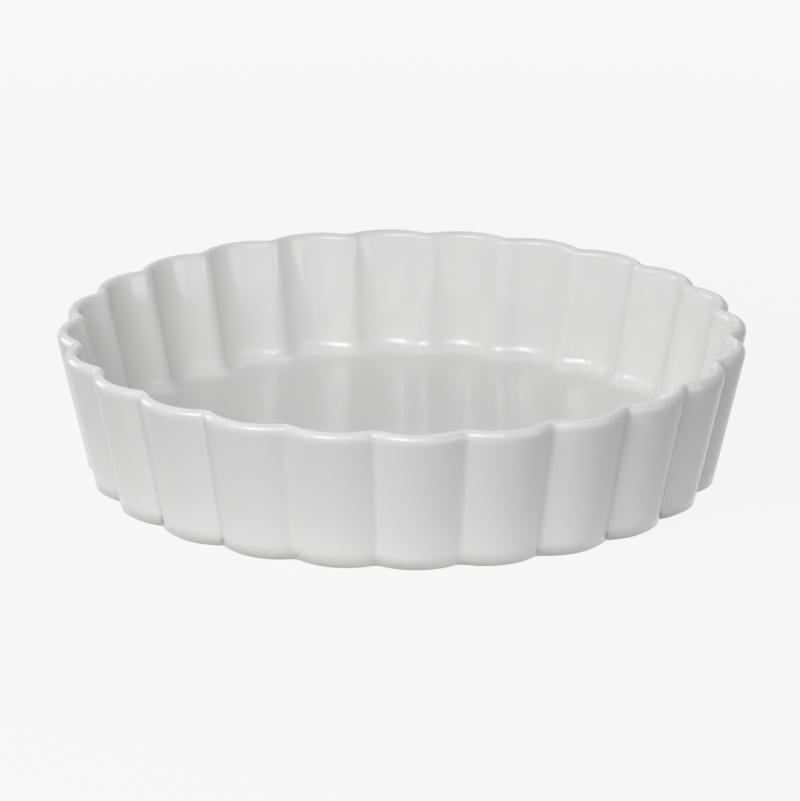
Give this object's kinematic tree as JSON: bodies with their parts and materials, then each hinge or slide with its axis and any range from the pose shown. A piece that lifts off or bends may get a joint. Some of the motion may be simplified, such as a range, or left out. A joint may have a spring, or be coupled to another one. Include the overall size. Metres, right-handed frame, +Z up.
{
  "type": "fluted quiche dish",
  "caption": "Round fluted baking dish of white glazed porcelain, with a flaring scalloped wall, a round lip and a flat floor.",
  "frame": {"origin": "under the dish's middle, on the plane that it stands on", "axes": "+Z up along the dish's axis, +X through the crest of a flute"},
  "size_m": [0.28, 0.28, 0.059],
  "materials": {
    "bare_porcelain": "fired hard porcelain, unglazed and smooth where it stands",
    "clear_white_glaze": "glossy clear glaze over white porcelain",
    "base_white_glaze": "glossy clear glaze in the recess of the base"
  },
  "bodies": {
    "root": {"porcelain_body": "bare_porcelain", "glaze_coat": "clear_white_glaze", "base_glaze": "base_white_glaze"}
  },
  "joints": []
}
